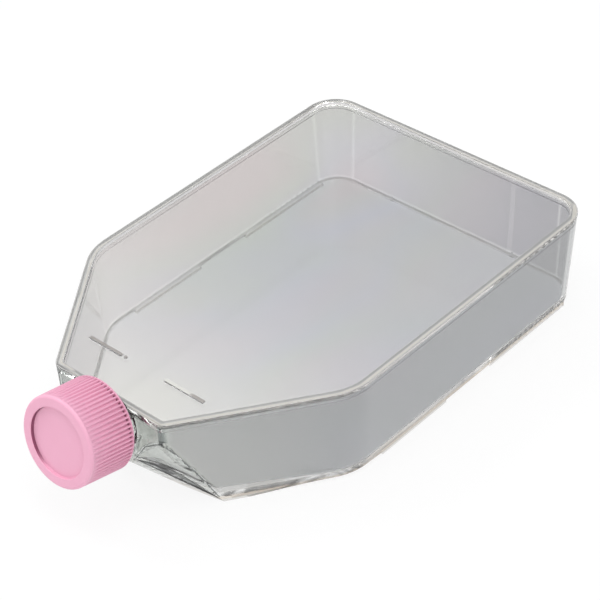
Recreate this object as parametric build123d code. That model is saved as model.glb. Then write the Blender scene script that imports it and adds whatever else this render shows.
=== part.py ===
import os
from math import asin, atan2, cos, degrees, radians, sin, tan
from build123d import *

# Cell culture flask: a tapered polystyrene tub with a canted neck and a ramp under it,
# a welded top plate with a stacking rim, and a knurled screw cap.
# Lengths are millimetres, angles are degrees. The neck points towards -X.
# While it is drawn, X is measured from the front edge of the rim.

# Outline of the rim, seen from above
flask_length = 204.0
flask_width = 138.0
front_width = 55.0
shoulder_length = 58.0
back_corner_radius = 14.0
shoulder_radius = 25.0
front_corner_radius = 4.5

# Heights and walls of the tub
body_height = 42.3
side_draft = 3.0
shoulder_draft = 3.1
front_draft = 0.5
wall = 1.8
floor_thickness = 2.2

# Top plate
plate_thickness = 1.8
rim_width = 3.0
rim_height = 1.1
tongue_depth = 1.2
tongue_width = 1.0
tongue_gap = 0.15
bar_x = 20.2
bar_inner_y = 10.0
bar_length = 19.5
bar_width = 1.3
bar_height = 0.5
dot_gap = 1.2

# Front rail, feet, the row of ribs along each rear foot and the pair of ribs on the back wall.
# The rail starts at the ramp, the front feet at the shoulders, the rear feet at the back wall
foot_height = 1.4
foot_width = 2.0
front_rail_length = 8.0
front_rail_run_out = 14.0
front_foot_gap = 17.0
front_foot_length = 38.5
rear_foot_gap = 12.5
rear_foot_length = 50.0
rib_gap = 14.0
rib_pitch = 3.5
rib_count = 11
back_rib_y = 32.5
rib_root_width = 2.0
rib_crest_width = 0.7
rib_stand_out = 0.45
rib_bottom = 0.8
rib_height = 3.2

# Ramp from the front edge of the base up to the neck
ramp_length = 18.3
ramp_base_half_width = 38.0
ramp_base_radius = 118.0
ramp_top_slope = 38.5
ramp_neck_gap = 1.4

# Neck
neck_axis_height = 31.3
neck_angle = 12.0
neck_length = 23.1
neck_bore_radius = 13.5
neck_wall = 1.8
collar_radius = 16.5
collar_length = 2.2
lip_chamfer = 0.5

# Screw cap
cap_radius = 18.45
cap_length = 20.8
cap_top = 1.6
cap_seat_gap = 0.3
cap_edge_radius = 1.9
cap_neck_clearance = 1.5
cap_taper = 0.3
cap_band = 0.8
face_recess_depth = 1.1
face_recess_radius = 13.8
plug_clearance = 0.3
plug_wall = 1.0
plug_length = 2.8
groove_count = 68
groove_depth = 0.95
groove_length = 17.9
groove_flank = 35.0

# Levels that follow from the sizes above
floor_z = foot_height
rim_z = floor_z + body_height
plate_top_z = rim_z - rim_height
seat_z = plate_top_z - plate_thickness
reach = flask_width
neck_outer_radius = neck_bore_radius + neck_wall
cap_bore_radius = neck_outer_radius + cap_neck_clearance
cap_inside_depth = cap_length - face_recess_depth - cap_top
cap_open_end = neck_length + cap_seat_gap - cap_inside_depth

neck_plane = Plane(
    origin=(0, 0, floor_z + neck_axis_height),
    x_dir=(0, 1, 0),
    z_dir=(-cos(radians(neck_angle)), 0, sin(radians(neck_angle))),
)


# Six corner points of the plan at height z, moved in by inset and by the draft of each wall
def plan_points(inset, z):
    drop = rim_z - z
    side_step = inset + drop * tan(radians(side_draft))
    shoulder_step = inset + drop * tan(radians(shoulder_draft))
    front_step = inset + drop * tan(radians(front_draft))
    shoulder_angle = atan2((flask_width - front_width) / 2, shoulder_length)
    line_y = front_width / 2 - shoulder_step / cos(shoulder_angle)
    side_y = flask_width / 2 - side_step
    front_y = line_y + front_step * tan(shoulder_angle)
    shoulder_x = (side_y - line_y) / tan(shoulder_angle)
    half = [(front_step, front_y), (shoulder_x, side_y), (flask_length - side_step, side_y)]
    return half + [(x, -y) for x, y in reversed(half)]


# Plan face with rounded corners at height z
def plan_face(inset, z):
    points = [(x, y, z) for x, y in plan_points(inset, z)]
    face = make_face(Polyline(*points, close=True))
    step = points[0][0]
    radii = (front_corner_radius, shoulder_radius, back_corner_radius)
    for pair, radius in enumerate(radii):
        corners = face.vertices().sort_by(Axis.X)[4 * pair:4 * pair + 2]
        face = fillet(corners, max(radius - step, wall / 2))
    return face


# Block with the flask's plan between two heights, leaning in downwards
def flask_block(inset, bottom_z, top_z):
    return loft([plan_face(inset, bottom_z), plan_face(inset, top_z)], ruled=True)


# Box between two corners
def box_between(low, high):
    size = [b - a for a, b in zip(low, high)]
    return Pos(*low) * Box(*size, align=(Align.MIN, Align.MIN, Align.MIN))


# Upright section across the ramp: two slopes that meet in an arc, open to above
def ramp_section(x, arc_centre_z, radius, slope):
    angle = radians(slope)
    start_y = radius * sin(angle)
    start_z = arc_centre_z - radius * cos(angle)
    end_z = start_z + (reach - start_y) * tan(angle)
    arc = ThreePointArc((x, -start_y, start_z), (x, 0, arc_centre_z - radius), (x, start_y, start_z))
    sides = Polyline(
        (x, start_y, start_z),
        (x, reach, end_z),
        (x, reach, 2 * reach),
        (x, -reach, 2 * reach),
        (x, -reach, end_z),
        (x, -start_y, start_z),
    )
    return make_face([arc, sides])


# Space above the ramp, from the front of the flask to the ramp's foot at a given level
def space_over_ramp(inset, foot_x, level):
    top_radius = collar_radius + ramp_neck_gap - inset
    top = ramp_section(inset, floor_z + neck_axis_height, top_radius, ramp_top_slope)
    base_slope = asin(ramp_base_half_width / ramp_base_radius)
    base_centre_z = level + ramp_base_radius * cos(base_slope)
    base = ramp_section(foot_x, base_centre_z, ramp_base_radius, degrees(base_slope))
    return loft([top, base], ruled=True)


# Everything in front of and below the ramp, to be taken off a block
def ramp_cut(inset, foot_x, level):
    front = box_between((inset, -reach, -reach), (foot_x, reach, reach / 2))
    return front - space_over_ramp(inset, foot_x, level)


# Outside of the tub with its feet, without its neck
def tub_outside():
    block = flask_block(0, 0, seat_z)
    return block - space_between_feet() - ramp_cut(0, ramp_length, 0)


# Space inside the tub, open at the top
def tub_inside():
    floor_top = floor_z + floor_thickness
    block = flask_block(wall, floor_top, seat_z)
    return block - ramp_cut(wall, ramp_length + wall - floor_z, floor_top)


# Neck tube with its root collar, ending flat against the front edge of the top plate
def neck_outside():
    root = -collar_radius
    tube = Pos(0, 0, root) * Cylinder(
        neck_outer_radius, neck_length - root, align=(Align.CENTER, Align.CENTER, Align.MIN)
    )
    tube = chamfer(tube.edges().sort_by(Axis.Z)[-1], lip_chamfer)
    collar = Pos(0, 0, root) * Cylinder(
        collar_radius, collar_length - root, align=(Align.CENTER, Align.CENTER, Align.MIN)
    )
    neck = neck_plane.location * (tube + collar)
    over_plate = box_between((0, -reach, seat_z), (reach, reach, reach))
    inside = box_between((wall, -reach, -reach), (reach, reach, seat_z))
    return neck - over_plate - inside


# Passage through the neck. Behind the front wall its top is closed below the top plate
def neck_passage():
    root = -collar_radius
    bore = Pos(0, 0, root) * Cylinder(
        neck_bore_radius, reach - root, align=(Align.CENTER, Align.CENTER, Align.MIN)
    )
    lintel = box_between((-wall, -reach, seat_z - wall), (reach, reach, reach))
    return neck_plane.location * bore - lintel


# Wedge under the front rail, along which its ends run out
def rail_run_out():
    start = ramp_length + front_rail_length
    end = start + front_rail_run_out
    profile = Plane.XZ * make_face(Polyline((start, 0), (end, 0), (end, floor_z), close=True))
    return extrude(profile, amount=reach, both=True)


# Layer under the floor, with all but the front rail and the feet along both long sides
def space_between_feet():
    layer = box_between((-reach, -reach, 0), (2 * reach, reach, floor_z))
    core = flask_block(foot_width, 0, floor_z)
    rail_inside = box_between((ramp_length + foot_width, -reach, 0), (reach, reach, floor_z)) & core
    rail_end = ramp_length + front_rail_length + front_rail_run_out
    layer -= box_between((-reach, -reach, 0), (rail_end, reach, floor_z)) - rail_inside - rail_run_out()
    front_start = shoulder_length + front_foot_gap
    rear_end = flask_length - rear_foot_gap
    feet = ((front_start, front_start + front_foot_length), (rear_end - rear_foot_length, rear_end))
    for start, end in feet:
        layer -= box_between((start, -reach, 0), (end, reach, floor_z)) - core
    return layer


# One upright rib on a wall that faces +Y, narrower towards its crest
def upright_rib():
    half_root = rib_root_width / 2
    half_crest = rib_crest_width / 2
    root = [(-half_root, -wall / 2), (half_root, -wall / 2)]
    crest = [(half_crest, rib_stand_out), (-half_crest, rib_stand_out)]
    outline = make_face(Polyline(*root, *crest, close=True))
    return Pos(0, 0, rib_bottom) * extrude(outline, amount=rib_height, dir=(0, 0, 1))


# A row of small ribs along each rear foot, and two on the back wall
def base_ribs():
    drafted = (rim_z - rib_bottom) * tan(radians(side_draft))
    side_y = flask_width / 2 - drafted
    back_x = flask_length - drafted
    places = [Pos(back_x, y, 0) * Rot(0, 0, -90) for y in (-back_rib_y, back_rib_y)]
    for index in range(rib_count):
        x = flask_length - rib_gap - index * rib_pitch
        places += [Pos(x, side_y, 0), Pos(x, -side_y, 0) * Rot(0, 0, 180)]
    rib = upright_rib()
    return [place * rib for place in places]


# Lower moulding: floor, walls, ramp, neck, feet and ribs in one piece
def make_flask_tub():
    tub = tub_outside() + base_ribs() + neck_outside()
    return tub - tub_inside() - neck_passage()


# Upper moulding: recessed plate, stacking rim, tongue inside the walls and two raised bars
def make_top_plate():
    plate = flask_block(0, seat_z, rim_z) - flask_block(rim_width, plate_top_z, rim_z)
    tongue_inset = wall + tongue_gap
    tongue = flask_block(tongue_inset, seat_z - tongue_depth, seat_z)
    tongue -= flask_block(tongue_inset + tongue_width, seat_z - tongue_depth, seat_z)
    return plate + tongue + raised_bars()


# Two raised bars in line across the front of the plate, one of them ending in a dot
def raised_bars():
    low = plate_top_z - plate_thickness / 2
    high = plate_top_z + bar_height
    outer_y = bar_inner_y + bar_length
    half = bar_width / 2
    right = box_between((bar_x - half, -outer_y, low), (bar_x + half, -bar_inner_y, high))
    dot = Pos(bar_x, bar_inner_y + half, low) * Cylinder(
        half, high - low, align=(Align.CENTER, Align.CENTER, Align.MIN)
    )
    left_start = bar_inner_y + bar_width + dot_gap
    left = box_between((bar_x - half, left_start, low), (bar_x + half, outer_y, high))
    return [right, dot, left]


# Outer form of the cap, turned about its axis, from the open end at zero to the face
def cap_form():
    outline = Polyline(
        (0, 0, 0),
        (cap_radius, 0, 0),
        (cap_radius, 0, cap_band),
        (cap_radius - cap_taper, 0, cap_length),
        (0, 0, cap_length),
        close=True,
    )
    profile = make_face(outline)
    corner = max(profile.vertices(), key=lambda point: point.X + point.Z)
    return revolve(fillet(corner, cap_edge_radius), Axis.Z)


# Grooves round the skirt. Each starts deep at the plain band and runs out below the rounded edge
def cap_grooves():
    lean = groove_depth / groove_length - cap_taper / (cap_length - cap_band)
    bottom = cap_radius - groove_depth
    outside = cap_radius + groove_depth / 2
    half = (outside - bottom) * tan(radians(groove_flank))
    points = [(bottom, 0, cap_band), (outside, half, cap_band), (outside, -half, cap_band)]
    notch = make_face(Polyline(*points, close=True))
    groove = extrude(notch, amount=groove_length + groove_depth, dir=(lean, 0, 1))
    return [Rot(0, 0, 360 * index / groove_count) * groove for index in range(groove_count)]


# Knurled screw cap with a recessed face, a skirt over the neck and a plug ring inside it
def make_screw_cap():
    grooves = cap_grooves()
    cap = cap_form().cut(*grooves)
    cap -= Pos(0, 0, cap_length - face_recess_depth) * Cylinder(
        face_recess_radius, cap_length, align=(Align.CENTER, Align.CENTER, Align.MIN)
    )
    cap -= Cylinder(cap_bore_radius, cap_inside_depth, align=(Align.CENTER, Align.CENTER, Align.MIN))
    plug_radius = neck_bore_radius - plug_clearance
    plug = Cylinder(plug_radius, plug_length + cap_top / 2, align=(Align.CENTER, Align.CENTER, Align.MIN))
    plug -= Cylinder(
        plug_radius - plug_wall, plug_length, align=(Align.CENTER, Align.CENTER, Align.MIN)
    )
    cap += Pos(0, 0, cap_inside_depth - plug_length) * plug
    return neck_plane.location * (Pos(0, 0, cap_open_end) * cap)


pieces = {
    "flask_tub": make_flask_tub(),
    "top_plate": make_top_plate(),
    "screw_cap": make_screw_cap(),
}

# The origin is the middle of the whole flask, on the surface that its feet stand on
whole = Compound(children=[Compound(children=list(piece.solids())) for piece in pieces.values()])
middle_x = whole.bounding_box().center().X

os.makedirs("parts", exist_ok=True)
for name, piece in pieces.items():
    export_step(Pos(-middle_x, 0, 0) * piece, f"parts/{name}.step")
    print(name, round(piece.volume, 1), "mm3,", len(piece.solids()), "solid")
print("origin to the rim's front edge:", round(middle_x, 3))
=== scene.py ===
import math

import bmesh
import bpy
from mathutils import Matrix, Vector


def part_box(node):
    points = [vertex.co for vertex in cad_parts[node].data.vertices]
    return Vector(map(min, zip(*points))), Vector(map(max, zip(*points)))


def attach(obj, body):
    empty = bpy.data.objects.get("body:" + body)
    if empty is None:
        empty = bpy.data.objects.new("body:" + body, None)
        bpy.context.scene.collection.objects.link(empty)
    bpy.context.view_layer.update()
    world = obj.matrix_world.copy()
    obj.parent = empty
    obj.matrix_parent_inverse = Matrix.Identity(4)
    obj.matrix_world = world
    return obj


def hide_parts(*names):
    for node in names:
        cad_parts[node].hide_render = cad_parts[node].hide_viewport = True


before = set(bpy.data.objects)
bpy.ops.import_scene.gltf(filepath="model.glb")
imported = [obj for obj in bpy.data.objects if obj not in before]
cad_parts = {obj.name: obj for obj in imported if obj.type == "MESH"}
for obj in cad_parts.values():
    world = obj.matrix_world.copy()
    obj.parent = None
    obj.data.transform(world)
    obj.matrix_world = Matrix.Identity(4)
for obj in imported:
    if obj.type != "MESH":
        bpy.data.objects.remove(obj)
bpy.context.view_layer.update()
print("frame loaded:", sorted(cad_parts))

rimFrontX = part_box("top_plate")[0][0]

# the neck's axis leaves the front edge of the rim at this height and rises outwards
neck = {
    "angle": math.radians(12.0),
    "axisHeight": 0.0327,
    "outerRadius": 0.0153,
    "threadStart": 0.0105,
    "threadHeight": 0.0006,
}
neckOut = Vector((-math.cos(neck["angle"]), 0.0, math.sin(neck["angle"])))
neckUp = Vector((math.sin(neck["angle"]), 0.0, math.cos(neck["angle"])))
neckPlace = Matrix((neckUp, Vector((0.0, 1.0, 0.0)), neckOut)).transposed().to_4x4()
neckPlace.translation = Vector((rimFrontX, 0.0, neck["axisHeight"]))


# a socket that can be used in sums
class Wire:
    def __init__(self, graph, node, output=0):
        self.graph = graph
        self.node = node
        self.socket = node.outputs[output]

    def out(self, output):
        return Wire(self.graph, self.node, output)

    def sum(self, operation, *values):
        return self.graph.add("ShaderNodeMath", {"operation": operation}, values)

    def __add__(self, other):
        return self.sum("ADD", self, other)

    def __radd__(self, other):
        return self.sum("ADD", other, self)

    def __sub__(self, other):
        return self.sum("SUBTRACT", self, other)

    def __rsub__(self, other):
        return self.sum("SUBTRACT", other, self)

    def __mul__(self, other):
        return self.sum("MULTIPLY", self, other)

    def __rmul__(self, other):
        return self.sum("MULTIPLY", other, self)

    def __truediv__(self, other):
        return self.sum("DIVIDE", self, other)

    def __rtruediv__(self, other):
        return self.sum("DIVIDE", other, self)


class Graph:
    def __init__(self, tree):
        self.tree = tree
        tree.nodes.clear()

    # adds a node: its settings first, then the values or wires of its inputs
    def add(self, kind, settings=None, inputs=()):
        node = self.tree.nodes.new(kind)
        for name, value in (settings or {}).items():
            if name == "stops":
                self.setStops(node.color_ramp, value)
            else:
                setattr(node, name, value)
        pairs = inputs.items() if isinstance(inputs, dict) else enumerate(inputs)
        for name, value in pairs:
            if isinstance(value, Wire):
                self.tree.links.new(value.socket, node.inputs[name])
            else:
                node.inputs[name].default_value = value
        return Wire(self, node) if len(node.outputs) else node

    def setStops(self, ramp, stops):
        while len(ramp.elements) < len(stops):
            ramp.elements.new(1.0)
        for element, (place, colour) in zip(ramp.elements, stops):
            element.position = place
            element.color = (*colour, 1.0)

    # 0 where value is at low, 1 where it is at high
    def fade(self, value, low, high):
        settings = {"interpolation_type": "SMOOTHSTEP"}
        return self.add("ShaderNodeMapRange", settings, [value, low, high, 0.0, 1.0])

    def size(self, value):
        return self.add("ShaderNodeMath", {"operation": "ABSOLUTE"}, [value])

    # a narrow line at centre, as strong as share: full over its middle fifth, gone a reach away
    def line(self, value, centre, reach, share=1.0):
        return (1.0 - self.fade(self.size(value - centre), reach * 0.2, reach)) * share

    def noise(self, scale, detail, stretch=(1.0, 1.0, 1.0)):
        place = self.add("ShaderNodeTexCoord").out("Object")
        moved = self.add("ShaderNodeMapping", None, {"Vector": place, "Scale": stretch})
        return self.add("ShaderNodeTexNoise", None, {"Vector": moved, "Scale": scale, "Detail": detail})

    # the colour sockets of a Mix node share their names with others, so they go by number
    def mix(self, factor, first, second):
        return self.add("ShaderNodeMix", {"data_type": "RGBA"}, {0: factor, 6: first, 7: second}).out(2)


def newMaterial(name):
    material = bpy.data.materials.new(name)
    material.use_nodes = True
    return material, Graph(material.node_tree)


# every tint is what is left of white light after one wall; where the tints change by side and by part over
# the flask, they paint its light and shade
plasticLook = {
    "sheetTints": [
        (0.30, (0.812, 0.770, 0.804)),
        (0.45, (0.774, 0.784, 0.816)),
        (0.55, (0.776, 0.800, 0.768)),
        (0.70, (0.824, 0.782, 0.770)),
    ],
    "sheetNoise": (9.0, 1.5, (1.0, 1.6, 1.0)),  # scale, detail, stretch
    # the sheets turn bluer toward -Y and paler toward the front: painted shade and painted light
    "coolTint": (0.795, 0.80, 0.845, 1.0),
    "coolShare": 0.6,
    "fairTint": (0.93, 0.925, 0.91, 1.0),
    # across the flask, from its -Y wall to its +Y wall: darker toward -Y, a painted shade
    "wallTints": [
        (0.02, (0.47, 0.48, 0.485)),
        (0.35, (0.50, 0.51, 0.50)),
        (0.60, (0.59, 0.58, 0.60)),
        (0.98, (0.79, 0.77, 0.77)),
    ],
    # how fast these are run through, per metre; how much slower on the back wall; the shift there
    "wallSpread": (7.0, 2.5, 0.27),
    # the front wall, the neck and the ramp's slope have tints of their own: painted light and shade on the
    # one clear plastic
    "frontTint": (0.56, 0.595, 0.565, 1.0),
    # painted dark upright lines (painted shade) on the front wall: place either side of the neck, reach
    "frontCorner": (0.0261, 0.0012),
    "cornerShadeTint": (0.10, 0.12, 0.12, 1.0),
    "neckTint": (0.78, 0.80, 0.78, 1.0),
    "slopeTint": (0.56, 0.59, 0.565, 1.0),
    # pale lines on the walls, painted highlights: place, reach, share
    "cornerLine": (0.0548, 0.0009, 0.6),
    "sideLine": (0.1024, 0.0012, 0.4),
    "backLines": [(-0.0321, 0.0003, 0.5), (-0.0309, 0.0003, 0.5)],
    "baseLine": (0.0043, 0.0010, 0.8),
    "highlightTint": (0.97, 0.97, 0.95, 1.0),
    # a brownish band at the foot of the walls and darker feet: painted shade
    "baseTint": (0.58, 0.50, 0.41, 1.0),
    "footTint": (0.56, 0.54, 0.51, 1.0),
    # the rim's faces are paler toward -Y and darker toward +Y, with a tint of their own on top: painted
    # light and shade
    "rimTop": (0.60, 0.60, 0.59, 1.0),
    "rimNear": (0.86, 0.83, 0.77, 1.0),
    "rimFar": (0.60, 0.60, 0.60, 1.0),
    # a matte share is painted in place of the clear plastic's bent light on the top of the rim and on the
    # round edge of the floor: a grey band on the rim, a pale painted highlight on the edge
    "matteTint": (0.56, 0.56, 0.55, 1.0),
    "matteShare": 0.42,
    "matteRoughness": 0.3,
    "edgeHighlight": (0.95, 0.95, 0.93, 1.0),
    "edgeShare": 0.55,
    # the raised bars are painted dark (painted shade) but for a paler part of the one on the -Y side
    # (painted highlight): its middle, half width, fade
    "barShade": (0.27, 0.25, 0.235, 1.0),
    "barHighlight": (0.64, 0.64, 0.60, 1.0),
    "palePart": (-0.0105, 0.0115, 0.0135),
    "barShare": 0.35,
    # narrow painted lines along both edges of the rim's top
    "rimStrip": 0.00048,
    "stripShade": (0.24, 0.24, 0.235, 1.0),
    "stripPale": (0.52, 0.50, 0.455, 1.0),
    "stripShare": 0.6,
    # the outer strip is painted dark (painted shade) beyond a slanting line across the flask: its slope and
    # its place
    "stripLine": (0.41, 0.0157),
    "roughness": 0.02,
    "haze": (60.0, 3.0),
    "hazeDepth": 0.02,
    "ripple": (35.0, 1.0),
    "rippleStrength": 0.02,
    "rippleDepth": 0.0002,
    "ior": 1.59,
}

# zones of the clear body: none of it at the first value, all of it at the second
zones = {
    # along the flask
    "neck": (-0.0879, -0.0884),
    "front": (-0.0835, -0.0855),
    "fair": (0.02, -0.085),
    "behindRamp": (-0.072, -0.068),
    "behindShoulders": (-0.050, -0.030),
    "back": (0.105, 0.112),
    # across it
    "cool": (0.02, -0.05),
    "farRim": (-0.03, 0.03),
    "sideWall": (0.061, 0.064),
    "farOfLine": (-0.006, 0.006),
    # height
    "overFoot": (0.0010, 0.0015),
    "overBase": (0.0024, 0.0034),
    "overFloor": (0.0035, 0.0037),
    "overFloorEdge": (0.0047, 0.0050),
    "overRamp": (0.029, 0.031),
    "overSlope": (0.030, 0.036),
    "rim": (0.0428, 0.0431),
    "overBars": (0.0432, 0.0434),
    # how level the surface lies: 0 upright, 1 level
    "turned": (0.1, 0.2),
    "leaning": (0.12, 0.3),
    "offUpright": (0.3, 0.8),
    "nearlyLevel": (0.9, 0.96),
    "level": (0.93, 0.99),
    "quiteLevel": (0.95, 0.99),
    # the attribute on the rim's edges
    "strip": (0.05, 0.6),
    "darkStrip": (-0.3, 0.3),
}


def makeClearPlastic():
    material, graph = newMaterial("clearPolystyrene")
    look = plasticLook

    def within(value, zone):
        return graph.fade(value, *zones[zone])

    def outside(value, zone):
        return 1.0 - within(value, zone)

    spot = graph.add("ShaderNodeSeparateXYZ", None, [graph.add("ShaderNodeTexCoord").out("Object")])
    along, across, height = spot.out("X"), spot.out("Y"), spot.out("Z")
    sideways = graph.size(across)
    facing = graph.add("ShaderNodeNewGeometry").out("True Normal")
    lying = graph.size(graph.add("ShaderNodeSeparateXYZ", None, [facing]).out("Z"))
    upright = outside(lying, "offUpright")
    level = within(lying, "level")
    onFront = within(along, "front")
    onBack = within(along, "back")
    onRim = within(height, "rim")

    # the level sheets, then the walls
    flow = graph.noise(*look["sheetNoise"])
    sheet = graph.add("ShaderNodeValToRGB", {"stops": look["sheetTints"]}, [flow])
    # painted shade and painted light: bluer toward -Y, paler toward the front
    sheet = graph.mix(within(across, "cool") * look["coolShare"], sheet, look["coolTint"])
    sheet = graph.mix(within(along, "fair"), sheet, look["fairTint"])
    spread, fewer, shift = look["wallSpread"]
    # painted shade: the walls darken toward -Y, less steeply on the back wall
    atStop = across * (spread - onBack * fewer) + onBack * shift + 0.5
    wall = graph.add("ShaderNodeValToRGB", {"stops": look["wallTints"]}, [atStop])
    # painted shade on the front wall
    wall = graph.mix(onFront, wall, look["frontTint"])
    # painted shade: dark upright lines beside the neck on the front wall
    cornerShade = graph.line(sideways, *look["frontCorner"]) * onFront * within(height, "overRamp")
    wall = graph.mix(cornerShade, wall, look["cornerShadeTint"])
    tint = graph.mix(upright, sheet, wall)

    # painted light and shade on the neck, the ramp and the foot of the walls, and painted highlight lines on
    # the walls
    tint = graph.mix(within(along, "neck"), tint, look["neckTint"])
    slope = within(lying, "leaning") * outside(lying, "nearlyLevel") * outside(height, "overSlope")
    tint = graph.mix(slope * outside(along, "behindRamp"), tint, look["slopeTint"])
    # painted highlights: pale lines on the walls
    highlightLines = graph.line(sideways, *look["cornerLine"]) * onBack
    highlightLines = highlightLines + graph.line(along, *look["sideLine"]) * within(sideways, "sideWall")
    for backLine in look["backLines"]:
        highlightLines = highlightLines + graph.line(across, *backLine) * onBack
    highlightLines = highlightLines + graph.line(height, *look["baseLine"])
    tint = graph.mix(highlightLines * upright, tint, look["highlightTint"])
    # painted shade: a brownish band at the foot of the walls
    tint = graph.mix(outside(height, "overBase") * upright, tint, look["baseTint"])

    # the rim and the feet: painted light and shade
    rim = graph.mix(within(across, "farRim"), look["rimNear"], look["rimFar"])
    tint = graph.mix(onRim, tint, graph.mix(level, rim, look["rimTop"]))
    # painted shade: darker feet
    tint = graph.mix(outside(height, "overFoot"), tint, look["footTint"])
    haze = graph.noise(*look["haze"])
    roughness = haze * look["hazeDepth"] + (look["roughness"] - look["hazeDepth"] / 2)
    bump = graph.add("ShaderNodeBump", None, {
        "Strength": look["rippleStrength"],
        "Distance": look["rippleDepth"],
        "Height": graph.noise(*look["ripple"]),
    })
    clear = graph.add("ShaderNodeBsdfPrincipled", None, {
        "Base Color": tint,
        "Roughness": roughness,
        "IOR": look["ior"],
        "Transmission Weight": 1.0,
        "Normal": bump,
    })

    # the matte share, painted light and shade: the floor's inner edge, the bars, the rim's top and the
    # strips along it
    inEdge = within(lying, "turned") * outside(lying, "quiteLevel")
    inEdge = inEdge * within(height, "overFloor") * outside(height, "overFloorEdge")
    inEdge = inEdge * within(along, "behindShoulders")
    matteTint = graph.mix(inEdge, look["matteTint"], look["edgeHighlight"])
    # painted shade on the raised bars, with a painted highlight on part of the -Y one
    onBar = onRim * level * outside(height, "overBars")
    middle, inner, outer = look["palePart"]
    shadedBar = graph.fade(graph.size(across - middle), inner, outer)
    matteTint = graph.mix(onBar, matteTint, graph.mix(shadedBar, look["barHighlight"], look["barShade"]))
    # painted lines along the rim's edges: dark on one side of a slanting line, paler on the other
    edge = graph.add("ShaderNodeAttribute", {"attribute_name": "rimEdge"}).out("Fac")
    slant, start = look["stripLine"]
    farSide = within(along * slant + across + start, "farOfLine") * 2.0 - 1.0
    strip = graph.mix(within(edge * farSide, "darkStrip"), look["stripPale"], look["stripShade"])
    onStrip = within(graph.size(edge), "strip")
    matteTint = graph.mix(onStrip, matteTint, strip)
    share = onRim * level * look["matteShare"] + inEdge * look["edgeShare"] + onBar * look["barShare"]
    share = share + onStrip * look["stripShare"] * (1.0 - share)
    # this matte surface carries the painted light and shade of the rim, bars, strips and the floor's edge
    matteSurface = graph.add("ShaderNodeBsdfPrincipled", None, {
        "Base Color": matteTint,
        "Roughness": look["matteRoughness"],
    })
    both = graph.add("ShaderNodeMixShader", None, {0: share, 1: clear, 2: matteSurface})
    graph.add("ShaderNodeOutputMaterial", None, {"Surface": both})
    return material


capLook = {
    "pink": (0.76, 0.36, 0.50, 1.0),
    "pale": (0.82, 0.45, 0.58, 1.0),
    # painted shade in the grooves, their pits and the recess wall
    "groove": (0.18, 0.03, 0.08, 1.0),
    "clouds": (70.0, 3.0),
    "paleShare": 0.5,
    # the wall of the recess is painted dark, a painted shade, on one side of the cap only
    "recessShadeFrom": (0.004, 0.0115),
    "roughness": 0.42,
    "grain": (1400.0, 2.0),
    "grainDepth": 0.12,
    "bumpStrength": 0.12,
    "bumpDepth": 0.0002,
    "ior": 1.51,
}


def makeCapPlastic():
    material, graph = newMaterial("pinkCapPlastic")
    clouds = graph.noise(*capLook["clouds"]) * capLook["paleShare"]
    colour = graph.mix(clouds, capLook["pink"], capLook["pale"])
    # painted shade in the grooves and pits, and on the recess wall toward +Y
    hollow = graph.add("ShaderNodeAttribute", {"attribute_name": "hollow"}).out("Fac")
    lip = graph.add("ShaderNodeAttribute", {"attribute_name": "lip"}).out("Fac")
    place = graph.add("ShaderNodeTexCoord").out("Object")
    across = graph.add("ShaderNodeSeparateXYZ", None, [place]).out("Y")
    hollow = hollow + lip * graph.fade(across, *capLook["recessShadeFrom"])
    shaded = graph.mix(hollow, colour, capLook["groove"])
    grain = graph.noise(*capLook["grain"])
    roughness = grain * capLook["grainDepth"] + (capLook["roughness"] - capLook["grainDepth"] / 2)
    bump = graph.add("ShaderNodeBump", None, {
        "Strength": capLook["bumpStrength"],
        "Distance": capLook["bumpDepth"],
        "Height": grain,
    })
    surface = graph.add("ShaderNodeBsdfPrincipled", None, {
        "Base Color": shaded,
        "Roughness": roughness,
        "IOR": capLook["ior"],
        "Normal": bump,
    })
    graph.add("ShaderNodeOutputMaterial", None, {"Surface": surface})
    return material


clearPlastic = makeClearPlastic()
capPlastic = makeCapPlastic()
print("materials made")


def newPiece(name, mesh):
    piece = bpy.data.objects.new(name, mesh)
    bpy.context.scene.collection.objects.link(piece)
    return piece


# points this close are merged, and faces this near to level with each other (in degrees) are joined
merging = {"reach": 2e-6, "flatAngle": 0.2}


# a merged copy of a CAD node, with flat faces joined up again
def mergedCopy(node, name):
    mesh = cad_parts[node].data.copy()
    mesh.name = name
    mesh.materials.clear()
    mergeMesh(mesh, merging["reach"], merging["flatAngle"])
    return newPiece(name, mesh)


def mergeMesh(mesh, reach, flatAngle):
    work = bmesh.new()
    work.from_mesh(mesh)
    bmesh.ops.remove_doubles(work, verts=work.verts, dist=reach)
    bmesh.ops.dissolve_limit(work, angle_limit=math.radians(flatAngle), verts=work.verts, edges=work.edges)
    work.to_mesh(mesh)
    work.free()


def applyModifiers(piece):
    graph = bpy.context.evaluated_depsgraph_get()
    mesh = bpy.data.meshes.new_from_object(piece.evaluated_get(graph))
    piece.modifiers.clear()
    piece.data = mesh


def joinSolid(piece, other):
    join = piece.modifiers.new("join", "BOOLEAN")
    join.operation = "UNION"
    join.solver = "EXACT"
    join.object = other
    applyModifiers(piece)
    bpy.data.objects.remove(other)


def smoothed(piece, sharpAngle):
    piece.data.shade_smooth()
    piece.data.set_sharp_from_angle(angle=math.radians(sharpAngle))
    weighted = piece.modifiers.new("weights", "WEIGHTED_NORMAL")
    weighted.mode = "FACE_AREA"
    weighted.weight = 100
    weighted.keep_sharp = True
    applyModifiers(piece)


def finishPiece(piece, material, body, slotName, *nodes):
    piece.data.materials.clear()
    piece.data.materials.append(material)
    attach(piece, body)
    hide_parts(*nodes)


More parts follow.
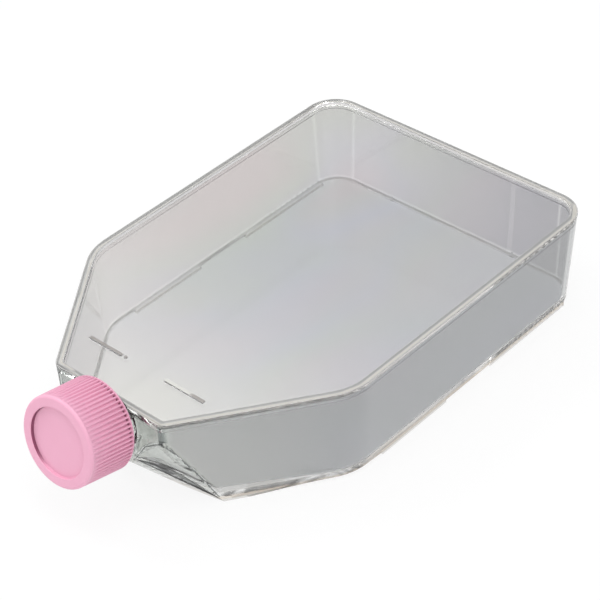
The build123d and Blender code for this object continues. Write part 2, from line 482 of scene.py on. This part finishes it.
cap = {
    "radius": 0.01845,
    "openEnd": 0.0053,
    "face": 0.0260,
    "taper": math.radians(1.1),
    "edgeRadius": 0.0012,
    "lipRadius": 0.00025,  # of the outer edge of the open end and the upper edge of the recess
    "recessRadius": 0.0138,
    "recessDepth": 0.0014,
    "recessFillet": 0.00015,
    # the recess wall and its fillet are painted dark, a painted shade, up to a little below the face
    "recessDark": 0.9,
    "darkUpTo": 0.0003,  # below the face
    # rings of points on the floor of the recess, the last so far inside its wall
    "faceRings": (0.006, 0.011),
    "lastRing": 0.0004,
    "top": 0.0016,
    "boreRadius": 0.0168,
    "boreChamfer": 0.0003,
    # outer radius, inner radius, length, chamfer
    "plug": (0.0132, 0.0122, 0.0028, 0.0004),
    "threadStart": 0.0085,
    "threadHeight": 0.0005,
    "sharpAngle": 38.0,
    "grooves": 68,
    # along the cap from its open end, depth of a groove, how dark the groove is painted (painted shade)
    "grooveRun": [
        (0.0007, 0.0, 0.0), (0.00075, 0.0012, 0.3), (0.0008, 0.00125, 1.0), (0.0013, 0.00125, 1.0),
        (0.00145, 0.00098, 0.2), (0.0035, 0.00092, 0.08), (0.0070, 0.00084, 0.06), (0.0105, 0.00074, 0.05),
        (0.0140, 0.0006, 0.04), (0.0168, 0.00046, 0.03), (0.0183, 0.00034, 0.02), (0.0192, 0.00016, 0.01),
        (0.0195, 0.0, 0.0),
    ],
    # across a groove: share of the pitch, share of the depth
    "grooveForm": [
        (-0.5, 0.0), (-0.36, 0.04), (-0.24, 0.5), (-0.13, 1.0), (0.13, 1.0), (0.24, 0.5), (0.36, 0.04),
    ],
}


# points of a turn from one direction to another, about a centre, with a painted shade value
def quarter(centre, radius, start, end, steps, dark=0.0):
    turns = [math.radians(start + (end - start) * step / steps) for step in range(steps + 1)]
    return [
        (centre[0] + radius * math.cos(turn), centre[1] + radius * math.sin(turn), 0.0, dark)
        for turn in turns
    ]


# the cap's outline from the middle of its face, round the open end, to the middle of its underside:
# radius, place along the axis, depth of the groove, darkness of the painted shade
def capOutline():
    radius, face, openEnd, bore = cap["radius"], cap["face"], cap["openEnd"], cap["boreRadius"]
    edge, lip, fillet, chamfer = cap["edgeRadius"], cap["lipRadius"], cap["recessFillet"], cap["boreChamfer"]
    recess, dark, slant = cap["recessRadius"], cap["recessDark"], math.tan(cap["taper"])
    plugOut, plugIn, plugLength, plugChamfer = cap["plug"]
    floor = face - cap["recessDepth"]
    underside = floor - cap["top"]
    plugEnd = underside - plugLength
    line = [(reach, floor, 0.0, 0.0) for reach in (0.0, *cap["faceRings"], recess - cap["lastRing"])]
    line += quarter((recess - fillet, floor + fillet), fillet, -90, 0, steps=2, dark=dark)
    line.append((recess, face - cap["darkUpTo"], 0.0, dark))
    line += quarter((recess + lip, face - lip), lip, 180, 90, steps=3)
    shoulder = radius - slant * (face - edge - openEnd)
    line += quarter((shoulder - edge, face - edge), edge, 90, 0, steps=8)
    for along, depth, darkness in reversed(cap["grooveRun"]):
        line.append((radius - slant * along, openEnd + along, depth, darkness))
    line += quarter((radius - lip, openEnd + lip), lip, 0, -90, steps=2)
    inside = [
        (bore + chamfer, openEnd), (bore, openEnd + chamfer), (bore, underside), (plugOut, underside),
        (plugOut, plugEnd + plugChamfer), (plugOut - plugChamfer, plugEnd), (plugIn, plugEnd),
        (plugIn, underside), (0.0, underside),
    ]
    return line + [(reach, along, 0.0, 0.0) for reach, along in inside]


# one groove's share of the cap, about the Z axis, with the painted shade of its groove, pits and recess wall
# on its points
def capSlice():
    pitch = 2 * math.pi / cap["grooves"]
    columns = cap["grooveForm"] + [(0.5, 0.0)]
    verts, faces, hollow, lip, rows = [], [], [], [], []
    for radius, along, depth, darkness in capOutline():
        row = []
        for place, share in columns if radius > 0 else columns[:1]:
            reach = radius - depth * share
            row.append(len(verts))
            verts.append((reach * math.cos(place * pitch), reach * math.sin(place * pitch), along))
            hollow.append(darkness * share ** 2 if depth > 0 else 0.0)
            lip.append(0.0 if depth > 0 else darkness)
        rows.append(row)
    for above, below in zip(rows, rows[1:]):
        for first, second in zip(range(len(columns) - 1), range(1, len(columns))):
            if len(above) == 1:
                faces.append((above[0], below[first], below[second]))
            elif len(below) == 1:
                faces.append((above[first], below[0], above[second]))
            else:
                faces.append((above[first], below[first], below[second], above[second]))
    mesh = bpy.data.meshes.new("capSlice")
    mesh.from_pydata(verts, [], faces)
    mesh.attributes.new("hollow", "FLOAT", "POINT").data.foreach_set("value", hollow)
    mesh.attributes.new("lip", "FLOAT", "POINT").data.foreach_set("value", lip)
    return mesh


# a tree that sets its input out round the Z axis and joins the copies
def ringTree():
    tree = bpy.data.node_groups.new("ringOfSlices", "GeometryNodeTree")
    graph = Graph(tree)
    face = tree.interface
    face.new_socket("Slice", in_out="INPUT", socket_type="NodeSocketGeometry")
    count = face.new_socket("Count", in_out="INPUT", socket_type="NodeSocketInt")
    reach = face.new_socket("Merge Distance", in_out="INPUT", socket_type="NodeSocketFloat")
    finish = face.new_socket("Material", in_out="INPUT", socket_type="NodeSocketMaterial")
    face.new_socket("Ring", in_out="OUTPUT", socket_type="NodeSocketGeometry")
    given = graph.add("NodeGroupInput")
    points = graph.add("GeometryNodePoints", None, {"Count": given.out("Count")})
    turn = 2 * math.pi / given.out("Count") * graph.add("GeometryNodeInputIndex")
    angles = graph.add("ShaderNodeCombineXYZ", None, {"Z": turn})
    spread = graph.add("GeometryNodeInstanceOnPoints", None, {
        "Points": points,
        "Instance": given.out("Slice"),
        "Rotation": angles,
    })
    real = graph.add("GeometryNodeRealizeInstances", None, [spread])
    merged = graph.add("GeometryNodeMergeByDistance", None, {
        "Geometry": real,
        "Distance": given.out("Merge Distance"),
    })
    dressed = graph.add("GeometryNodeSetMaterial", None, {
        "Geometry": merged,
        "Material": given.out("Material"),
    })
    graph.add("NodeGroupOutput", None, [dressed])
    return tree, count.identifier, reach.identifier, finish.identifier


threadForm = {
    "turns": 1.75,
    "rise": 0.0038,  # in one turn
    "sink": 0.0003,  # of its foot in the wall
    # half widths at the foot and the crest, and the share of them left at the ends
    "foot": 0.0009,
    "crest": 0.00035,
    "endWidth": 0.3,
    "stepsInTurn": 72,
    "fadeSteps": 10,
}


# a thread ridge round the Z axis that fades out at both ends; out is +1 for the neck, -1 for the cap
def threadMesh(name, radius, height, start, out):
    turns, sink, thin = threadForm["turns"], threadForm["sink"], threadForm["endWidth"]
    foot, crest = threadForm["foot"], threadForm["crest"]
    steps = int(turns * threadForm["stepsInTurn"])
    form = [(-foot, -sink), (-crest, height), (crest, height), (foot, -sink)]
    verts, faces = [], []
    for step in range(steps + 1):
        turn = 2 * math.pi * turns * step / steps
        fade = min(1.0, step / threadForm["fadeSteps"], (steps - step) / threadForm["fadeSteps"])
        for across, lift in form:
            level = lift * fade - sink * (1 - fade) if lift > 0 else lift
            reach = radius + out * level
            along = start + threadForm["rise"] * turn / (2 * math.pi) + across * (thin + (1 - thin) * fade)
            verts.append((reach * math.cos(turn), reach * math.sin(turn), along))
    for step in range(steps):
        for side in range(4):
            first, second = 4 * step + side, 4 * step + (side + 1) % 4
            faces.append((first, second, second + 4, first + 4))
    faces += [(3, 2, 1, 0), tuple(4 * steps + side for side in range(4))]
    mesh = bpy.data.meshes.new(name)
    mesh.from_pydata(verts, [], faces)
    work = bmesh.new()
    work.from_mesh(mesh)
    bmesh.ops.recalc_face_normals(work, faces=work.faces)
    work.to_mesh(mesh)
    work.free()
    return mesh


def makeCap():
    piece = newPiece("pinkScrewCap", capSlice())
    tree, count, reach, finish = ringTree()
    ring = piece.modifiers.new("ring", "NODES")
    ring.node_group = tree
    ring[count] = cap["grooves"]
    ring[reach] = merging["reach"]
    ring[finish] = capPlastic
    applyModifiers(piece)
    work = bmesh.new()
    work.from_mesh(piece.data)
    bmesh.ops.recalc_face_normals(work, faces=work.faces)
    work.from_mesh(threadMesh("capThread", cap["boreRadius"], cap["threadHeight"], cap["threadStart"], -1))
    print("cap: faces", len(work.faces), "open edges", sum(not edge.is_manifold for edge in work.edges))
    work.to_mesh(piece.data)
    work.free()
    piece.data.transform(neckPlace)
    smoothed(piece, cap["sharpAngle"])
    finishPiece(piece, capPlastic, "cap", "cap", "screw_cap")


shell = {
    # the plate's tongue, which the weld has melted into the wall: its upright faces start below the
    # first height and end below the second
    "tongueFrom": 0.0405,
    "tongueTop": 0.0409,
    "tongueUpright": 0.2,
    "tongueReach": 0.0004,
    "mergeReach": 5e-6,
    "flatAngle": 0.3,
    # how far the edges at one height are rounded: height, whether they stick out, reach, steps
    "roundings": [
        (0.0036, False, 0.0011, 4),
        (0.0014, True, 0.0008, 3),
        (0.0426, False, 0.0003, 2),
        (0.0437, True, 0.0003, 2),
    ],
    "roundedFrom": math.radians(40),
    "roundedBehind": 0.0004,
    "sameHeight": 2e-5,
    # how much of a face's normal points up: on the rim's flat top, and at most on the faces beside it
    "levelNormal": 0.999,
    "tiltedNormal": 0.99,
    "sharpAngle": 32.0,
}


# grows the plate's tongue out into the wall
def meltTongue(mesh):
    work = bmesh.new()
    work.from_mesh(mesh)
    moves = {}
    for face in work.faces:
        heights = [vert.co.z for vert in face.verts]
        if max(heights) > shell["tongueTop"] or min(heights) > shell["tongueFrom"]:
            continue
        centre = face.calc_center_median()
        outwards = face.normal.x * centre.x + face.normal.y * centre.y > 0
        if outwards and abs(face.normal.z) <= shell["tongueUpright"]:
            for vert in face.verts:
                moves.setdefault(vert, []).append(face.normal.copy())
    for vert, normals in moves.items():
        way = sum(normals, Vector())
        vert.co += way.normalized() * shell["tongueReach"]
    work.to_mesh(mesh)
    work.free()


def roundEdges(mesh):
    work = bmesh.new()
    work.from_mesh(mesh)
    for height, sticksOut, reach, steps in shell["roundings"]:
        edges = [
            edge for edge in work.edges
            if edge.is_manifold and edge.is_convex == sticksOut
            and edge.calc_face_angle() > shell["roundedFrom"]
            and all(abs(vert.co.z - height) < shell["sameHeight"] for vert in edge.verts)
            and min(vert.co.x for vert in edge.verts) > rimFrontX + shell["roundedBehind"]
        ]
        bmesh.ops.bevel(work, geom=edges, offset=reach, offset_type="OFFSET", segments=steps, profile=0.5,
                        affect="EDGES", clamp_overlap=False)
    markRim(work)
    work.to_mesh(mesh)
    work.free()


# a narrow strip along each edge of the rim's top, for the painted lines there: rimEdge is 1 on the outer
# edge, -1 on the inner one
def markRim(work):
    layer = work.verts.layers.float.new("rimEdge")
    top = max(vert.co.z for vert in work.verts if vert.co.x > 0)  # the neck is higher in front
    flats = [
        face for face in work.faces
        if face.normal.z > shell["levelNormal"]
        and abs(face.calc_center_median().z - top) < shell["sameHeight"]
    ]
    sides = {}
    for vert in {vert for face in flats for vert in face.verts}:
        tilted = [face.normal for face in vert.link_faces if face.normal.z < shell["tiltedNormal"]]
        way = sum(tilted, Vector())
        sides[vert] = 1.0 if way.x * vert.co.x + way.y * vert.co.y > 0 else -1.0
    bmesh.ops.inset_region(work, faces=flats, thickness=plasticLook["rimStrip"], use_even_offset=True)
    for vert in work.verts:
        vert[layer] = 0.0
    for vert, side in sides.items():
        vert[layer] = side


# the ramp's edges stand higher towards its corners than the solid's do: the lift grows from nothing
# to full across the flask, and is height * (slope + bend * height)
rampLift = {
    "before": 0.0005,
    "behind": 0.0185,
    "top": 0.0315,
    "across": (0.010, 0.020),
    "slope": 0.613,
    "bend": -15.9,
}


def raiseRamp(mesh):
    start, full = rampLift["across"]
    nearest, furthest = rimFrontX - rampLift["before"], rimFrontX + rampLift["behind"]
    for vert in mesh.vertices:
        place = vert.co
        if nearest <= place.x <= furthest and place.z <= rampLift["top"]:
            share = min(1.0, max(0.0, (abs(place.y) - start) / (full - start)))
            share = share * share * (3 - 2 * share)
            place.z += share * place.z * (rampLift["slope"] + rampLift["bend"] * place.z)


def makeClearBody():
    piece = mergedCopy("flask_tub", "clearBody")
    plate = mergedCopy("top_plate", "plateCopy")
    meltTongue(plate.data)
    joinSolid(piece, plate)
    thread = threadMesh("neckThread", neck["outerRadius"], neck["threadHeight"], neck["threadStart"], 1)
    thread.transform(neckPlace)
    joinSolid(piece, newPiece("threadCopy", thread))
    mergeMesh(piece.data, shell["mergeReach"], shell["flatAngle"])
    roundEdges(piece.data)
    raiseRamp(piece.data)
    smoothed(piece, shell["sharpAngle"])
    finishPiece(piece, clearPlastic, "flask", "polystyrene", "flask_tub", "top_plate")


edgeShadeBeads = {
    # which edges of the ramp carry them: how sharp, how far behind the front, across, height
    "sharperThan": math.radians(15),
    "behindFront": 0.018,
    "across": (0.010, 0.037),
    "height": (0.0016, 0.030),
    "spacing": 0.0011,
    "beadSize": (0.18, 0.5),
    "beadRadius": 0.001,
    "lineRadius": 0.0002,
    "beadsFrom": 0.0015,
    "beadShare": 0.75,
    "seed": 5,
    # dark with pale patches: painted shade and painted highlights along the ramp's edges
    "colour": (0.22, 0.24, 0.23, 1.0),
    "pale": (0.85, 0.86, 0.84, 1.0),
    "patches": (420.0, 1.0),
    "patchFade": (0.57, 0.63),
    "grain": (900.0, 2.0),
    "grainDepth": 0.2,
    "smoothest": 0.05,
    "clearShare": 0.3,
}


def makeBeadPlastic():
    material, graph = newMaterial("beadedPolystyrene")
    patches = graph.fade(graph.noise(*edgeShadeBeads["patches"]), *edgeShadeBeads["patchFade"])
    colour = graph.mix(patches, edgeShadeBeads["colour"], edgeShadeBeads["pale"])
    roughness = graph.noise(*edgeShadeBeads["grain"]) * edgeShadeBeads["grainDepth"] + edgeShadeBeads["smoothest"]
    surface = graph.add("ShaderNodeBsdfPrincipled", None, {
        "Base Color": colour,
        "Roughness": roughness,
        "IOR": plasticLook["ior"],
        "Transmission Weight": edgeShadeBeads["clearShare"],
    })
    graph.add("ShaderNodeOutputMaterial", None, {"Surface": surface})
    return material


# a tree that runs a thin tube along its edges and sets random beads on it
def beadTree():
    tree = bpy.data.node_groups.new("beadsOnEdges", "GeometryNodeTree")
    graph = Graph(tree)
    face = tree.interface
    face.new_socket("Edges", in_out="INPUT", socket_type="NodeSocketGeometry")
    names = ["Spacing", "Line Radius", "Bead Radius", "Smallest", "Largest", "Share", "Beads From X"]
    inputs = [face.new_socket(name, in_out="INPUT", socket_type="NodeSocketFloat") for name in names]
    inputs.append(face.new_socket("Seed", in_out="INPUT", socket_type="NodeSocketInt"))
    inputs.append(face.new_socket("Material", in_out="INPUT", socket_type="NodeSocketMaterial"))
    face.new_socket("Beads", in_out="OUTPUT", socket_type="NodeSocketGeometry")
    given = graph.add("NodeGroupInput")
    path = graph.add("GeometryNodeMeshToCurve", None, [given.out("Edges")])
    circle = graph.add("GeometryNodeCurvePrimitiveCircle", None, {
        "Resolution": 8,
        "Radius": given.out("Line Radius"),
    })
    tube = graph.add("GeometryNodeCurveToMesh", None, {
        "Curve": path,
        "Profile Curve": circle,
        "Fill Caps": True,
    })
    evened = graph.add("GeometryNodeResampleCurve", {"mode": "LENGTH"}, {
        "Curve": path,
        "Length": given.out("Spacing"),
    })
    points = graph.add("GeometryNodeCurveToPoints", {"mode": "EVALUATED"}, {"Curve": evened})
    # a random value's sockets share their names too
    seed = given.out("Seed")
    chance = graph.add("FunctionNodeRandomValue", {"data_type": "BOOLEAN"}, {
        "Probability": given.out("Share"),
        "Seed": seed,
    }).out(3)
    sizes = graph.add("FunctionNodeRandomValue", {"data_type": "FLOAT"}, {
        2: given.out("Smallest"),
        3: given.out("Largest"),
        "Seed": seed,
    }).out(1)
    along = graph.add("ShaderNodeSeparateXYZ", None, [graph.add("GeometryNodeInputPosition")]).out("X")
    behind = graph.add("ShaderNodeMath", {"operation": "GREATER_THAN"}, [along, given.out("Beads From X")])
    bead = graph.add("GeometryNodeMeshIcoSphere", None, {
        "Radius": given.out("Bead Radius"),
        "Subdivisions": 2,
    })
    spread = graph.add("GeometryNodeInstanceOnPoints", None, {
        "Points": points,
        "Selection": behind * chance,
        "Instance": bead,
        "Scale": sizes,
    })
    real = graph.add("GeometryNodeRealizeInstances", None, [spread])
    joined = graph.add("GeometryNodeJoinGeometry")
    for part in (tube, real):
        tree.links.new(part.socket, joined.node.inputs[0])
    dressed = graph.add("GeometryNodeSetMaterial", None, {
        "Geometry": joined,
        "Material": given.out("Material"),
    })
    graph.add("NodeGroupOutput", None, [dressed])
    return tree, [socket.identifier for socket in inputs]


def isRampEdge(edge):
    (inner, outer), (low, high) = edgeShadeBeads["across"], edgeShadeBeads["height"]
    if not edge.is_manifold or not edge.is_convex or edge.calc_face_angle() <= edgeShadeBeads["sharperThan"]:
        return False
    return all(
        rimFrontX < vert.co.x < rimFrontX + edgeShadeBeads["behindFront"]
        and inner < abs(vert.co.y) < outer and low < vert.co.z < high
        for vert in edge.verts
    )


# dark beads on a thin dark tube along the edges of the ramp under the neck: the tube paints the dark line
# the clear edge shows (painted shade)
def makeRampBeads():
    piece = mergedCopy("flask_tub", "rampBeads")
    work = bmesh.new()
    work.from_mesh(piece.data)
    kept = {edge for edge in work.edges if isRampEdge(edge)}
    bmesh.ops.delete(work, geom=list(work.faces), context="FACES_ONLY")
    bmesh.ops.delete(work, geom=[edge for edge in work.edges if edge not in kept], context="EDGES")
    bmesh.ops.delete(work, geom=[vert for vert in work.verts if not vert.link_edges], context="VERTS")
    work.to_mesh(piece.data)
    work.free()
    raiseRamp(piece.data)
    tree, names = beadTree()
    values = [
        edgeShadeBeads["spacing"], edgeShadeBeads["lineRadius"], edgeShadeBeads["beadRadius"], *edgeShadeBeads["beadSize"],
        edgeShadeBeads["beadShare"], rimFrontX + edgeShadeBeads["beadsFrom"], edgeShadeBeads["seed"], makeBeadPlastic(),
    ]
    beads = piece.modifiers.new("beads", "NODES")
    beads.node_group = tree
    for name, value in zip(names, values):
        beads[name] = value
    applyModifiers(piece)
    print("ramp beads: faces", len(piece.data.polygons))
    piece.data.shade_smooth()
    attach(piece, "flask")


makeCap()
print("cap made")
makeClearBody()
print("clear body made")
makeRampBeads()
print("ramp beads made")


stageLook = {
    "floorSize": 6.0,
    "floorColour": (0.9, 0.9, 0.9, 1.0),
    "worn": (0.86, 0.86, 0.86, 1.0),
    "wear": (3.0, 2.0),
    "wearShare": 0.1,
    "whiteShare": 0.88,
}


def makeStage():
    material, graph = newMaterial("paleFloor")
    worn = graph.noise(*stageLook["wear"]) * stageLook["wearShare"]
    colour = graph.mix(worn, stageLook["floorColour"], stageLook["worn"])
    matte = graph.add("ShaderNodeBsdfDiffuse", None, {"Color": colour})
    white = graph.add("ShaderNodeEmission", None, {"Color": (1, 1, 1, 1), "Strength": 1.0})
    path = graph.add("ShaderNodeLightPath")
    seen = path.out("Is Camera Ray") + path.out("Is Glossy Ray") + path.out("Is Transmission Ray")
    share = graph.add("ShaderNodeMath", {"operation": "MINIMUM"}, [seen, 1.0]) * stageLook["whiteShare"]
    both = graph.add("ShaderNodeMixShader", None, {0: share, 1: matte, 2: white})
    graph.add("ShaderNodeOutputMaterial", None, {"Surface": both})
    half = stageLook["floorSize"] / 2
    corners = [(-half, -half, 0), (half, -half, 0), (half, half, 0), (-half, half, 0)]
    mesh = bpy.data.meshes.new("floor")
    mesh.from_pydata(corners, [], [(0, 1, 2, 3)])
    mesh.materials.append(material)
    newPiece("floor", mesh)


# a soft room, bright over one side of the flask and dim over the other
room = {
    "brightSide": (-0.77, 0.56, 0.29),
    "turnsDark": (-0.2, 0.2),
    "bright": (0.9, 0.9, 0.9, 1.0),
    "dark": (0.22, 0.22, 0.23, 1.0),
}


def makeWorld():
    world = bpy.data.worlds.new("studio")
    bpy.context.scene.world = world
    world.use_nodes = True
    graph = Graph(world.node_tree)
    facing = graph.add("ShaderNodeTexCoord").out("Object")
    along = graph.add("ShaderNodeVectorMath", {"operation": "DOT_PRODUCT"}, [facing, room["brightSide"]])
    share = graph.fade(along.out("Value"), *room["turnsDark"])
    colour = graph.mix(share, room["dark"], room["bright"])
    soft = graph.add("ShaderNodeBackground", None, {"Color": colour, "Strength": 1.0})
    graph.add("ShaderNodeOutputWorld", None, {"Surface": soft})


lampAim = Vector((0.0, 0.0, 0.02))
lamps = {
    "key": {"place": (-0.25, 0.75, 0.9), "size": 0.35, "power": 3.0},
    "top": {"place": (0.0, -0.2, 1.1), "size": 0.7, "power": 5.0},
    "fill": {"place": (-0.2, -1.0, 0.8), "size": 0.8, "power": 3.6},
}


def makeLamps():
    for name, lamp in lamps.items():
        data = bpy.data.lights.new(name, "AREA")
        data.size = lamp["size"]
        data.energy = lamp["power"]
        light = bpy.data.objects.new(name, data)
        light.location = lamp["place"]
        light.rotation_mode = "QUATERNION"
        light.rotation_quaternion = (lampAim - light.location).to_track_quat("-Z", "Y")
        bpy.context.scene.collection.objects.link(light)


viewpoint = {
    "place": (-0.4476, -0.4373, 0.5256),
    "turn": (51.748, 2.167, -48.432),
    "lens": 122.8,
    "sensor": 36.0,
    "bounces": 160,  # light runs along the walls of clear plastic for many
}


def makeCamera():
    data = bpy.data.cameras.new("camera")
    data.lens = viewpoint["lens"]
    data.sensor_width = viewpoint["sensor"]
    camera = bpy.data.objects.new("camera", data)
    camera.location = viewpoint["place"]
    camera.rotation_euler = [math.radians(angle) for angle in viewpoint["turn"]]
    bpy.context.scene.collection.objects.link(camera)
    scene = bpy.context.scene
    scene.camera = camera
    scene.view_settings.view_transform = "Standard"
    scene.cycles.max_bounces = viewpoint["bounces"]
    scene.cycles.transmission_bounces = viewpoint["bounces"]
    scene.cycles.glossy_bounces = viewpoint["bounces"]


makeStage()
makeWorld()
makeLamps()
makeCamera()
print("stage, light and camera made")
